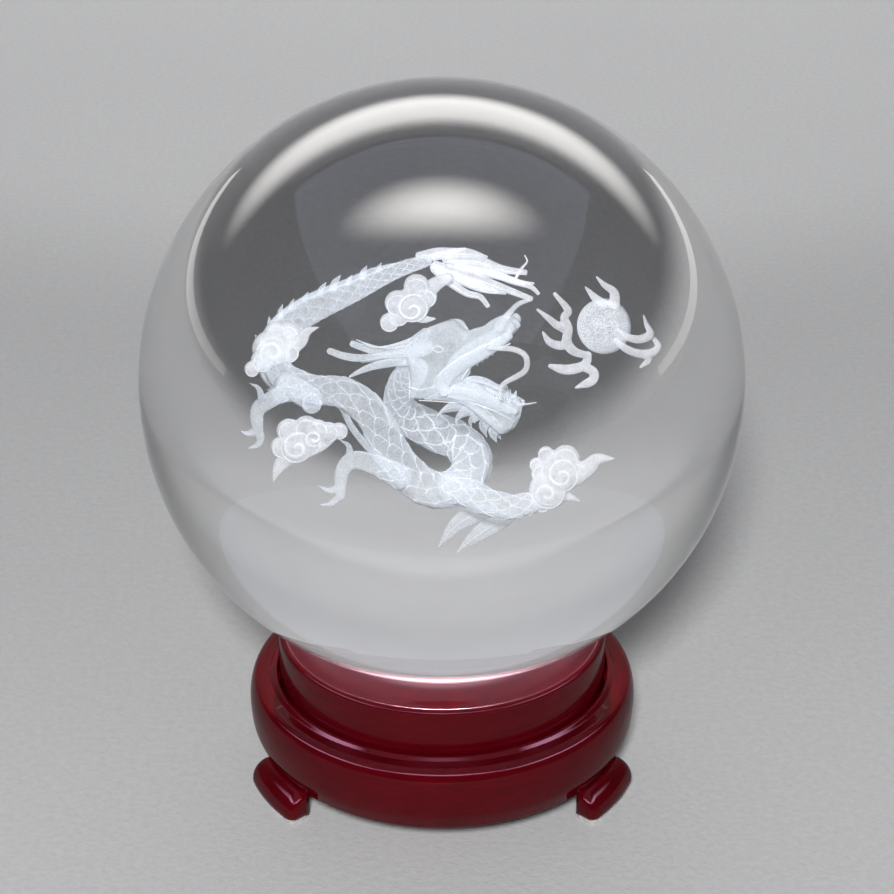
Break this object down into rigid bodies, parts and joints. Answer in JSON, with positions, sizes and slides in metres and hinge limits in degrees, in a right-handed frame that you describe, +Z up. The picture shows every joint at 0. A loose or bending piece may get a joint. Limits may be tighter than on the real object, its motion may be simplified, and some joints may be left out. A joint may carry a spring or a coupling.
{
  "type": "crystal ball",
  "caption": "Clear glass ball with a dragon, clouds and a flaming pearl engraved inside it, resting on a round dark red lacquered turntable stand with small curved feet.",
  "frame": {"origin": "on the floor, on the vertical axis through the centres of the ball and the round stand", "axes": "+Z up; -Y is the front, from where the dragon looks to +X"},
  "size_m": [0.08, 0.08, 0.099],
  "materials": {
    "crystal": "polished optical glass",
    "engraving_dragon": "frosted laser marks inside the glass",
    "engraving_cloud": "dense frosted laser marks inside the glass",
    "engraving_pearl": "grainy frosted laser marks inside the glass",
    "stand_lacquer": "dark red gloss lacquer",
    "drum_lacquer": "dark red gloss lacquer",
    "pad_clear": "pale translucent soft plastic",
    "seat_rubber": "matt black",
    "bush_nylon": "natural nylon",
    "glide_plastic": "white slippery plastic",
    "insert_brass": "machined brass",
    "screw_steel": "zinc plated steel"
  },
  "bodies": {
    "stand": {"base_body": "stand_lacquer", "foot_left": "stand_lacquer", "foot_right": "stand_lacquer", "foot_rear": "stand_lacquer", "foot_pad_left": "pad_clear", "foot_pad_right": "pad_clear", "foot_pad_rear": "pad_clear", "pivot_bush": "bush_nylon", "pivot_washer": "screw_steel", "glide_ring": "glide_plastic"},
    "turntable": {"seat_drum": "drum_lacquer", "seat_ring": "seat_rubber", "drum_insert": "insert_brass", "pivot_screw": "screw_steel"},
    "ball": {"crystal_ball": "crystal", "dragon_body": "engraving_dragon", "dragon_head": "engraving_dragon", "dragon_jaw": "engraving_dragon", "dragon_antlers": "engraving_dragon", "dragon_whiskers": "engraving_dragon", "dragon_crest": "engraving_dragon", "dragon_tail_tuft": "engraving_dragon", "dragon_foreleg_left": "engraving_dragon", "dragon_foreleg_right": "engraving_dragon", "dragon_hindleg": "engraving_dragon", "dragon_leg_flames": "engraving_dragon", "cloud_top": "engraving_cloud", "cloud_left": "engraving_cloud", "cloud_low": "engraving_cloud", "cloud_right": "engraving_cloud", "flaming_pearl": "engraving_pearl", "pearl_flames": "engraving_pearl"}
  },
  "joints": [
    {"name": "turntable_spin", "type": "hinge", "parent": "stand", "child": "turntable", "pos_m": [0, 0, 0.0136], "axis": [0, 0, 1], "continuous": true},
    {"name": "ball_lift", "type": "slide", "parent": "turntable", "child": "ball", "axis": [0, 0, 1], "range_m": [0, 0.03]}
  ]
}
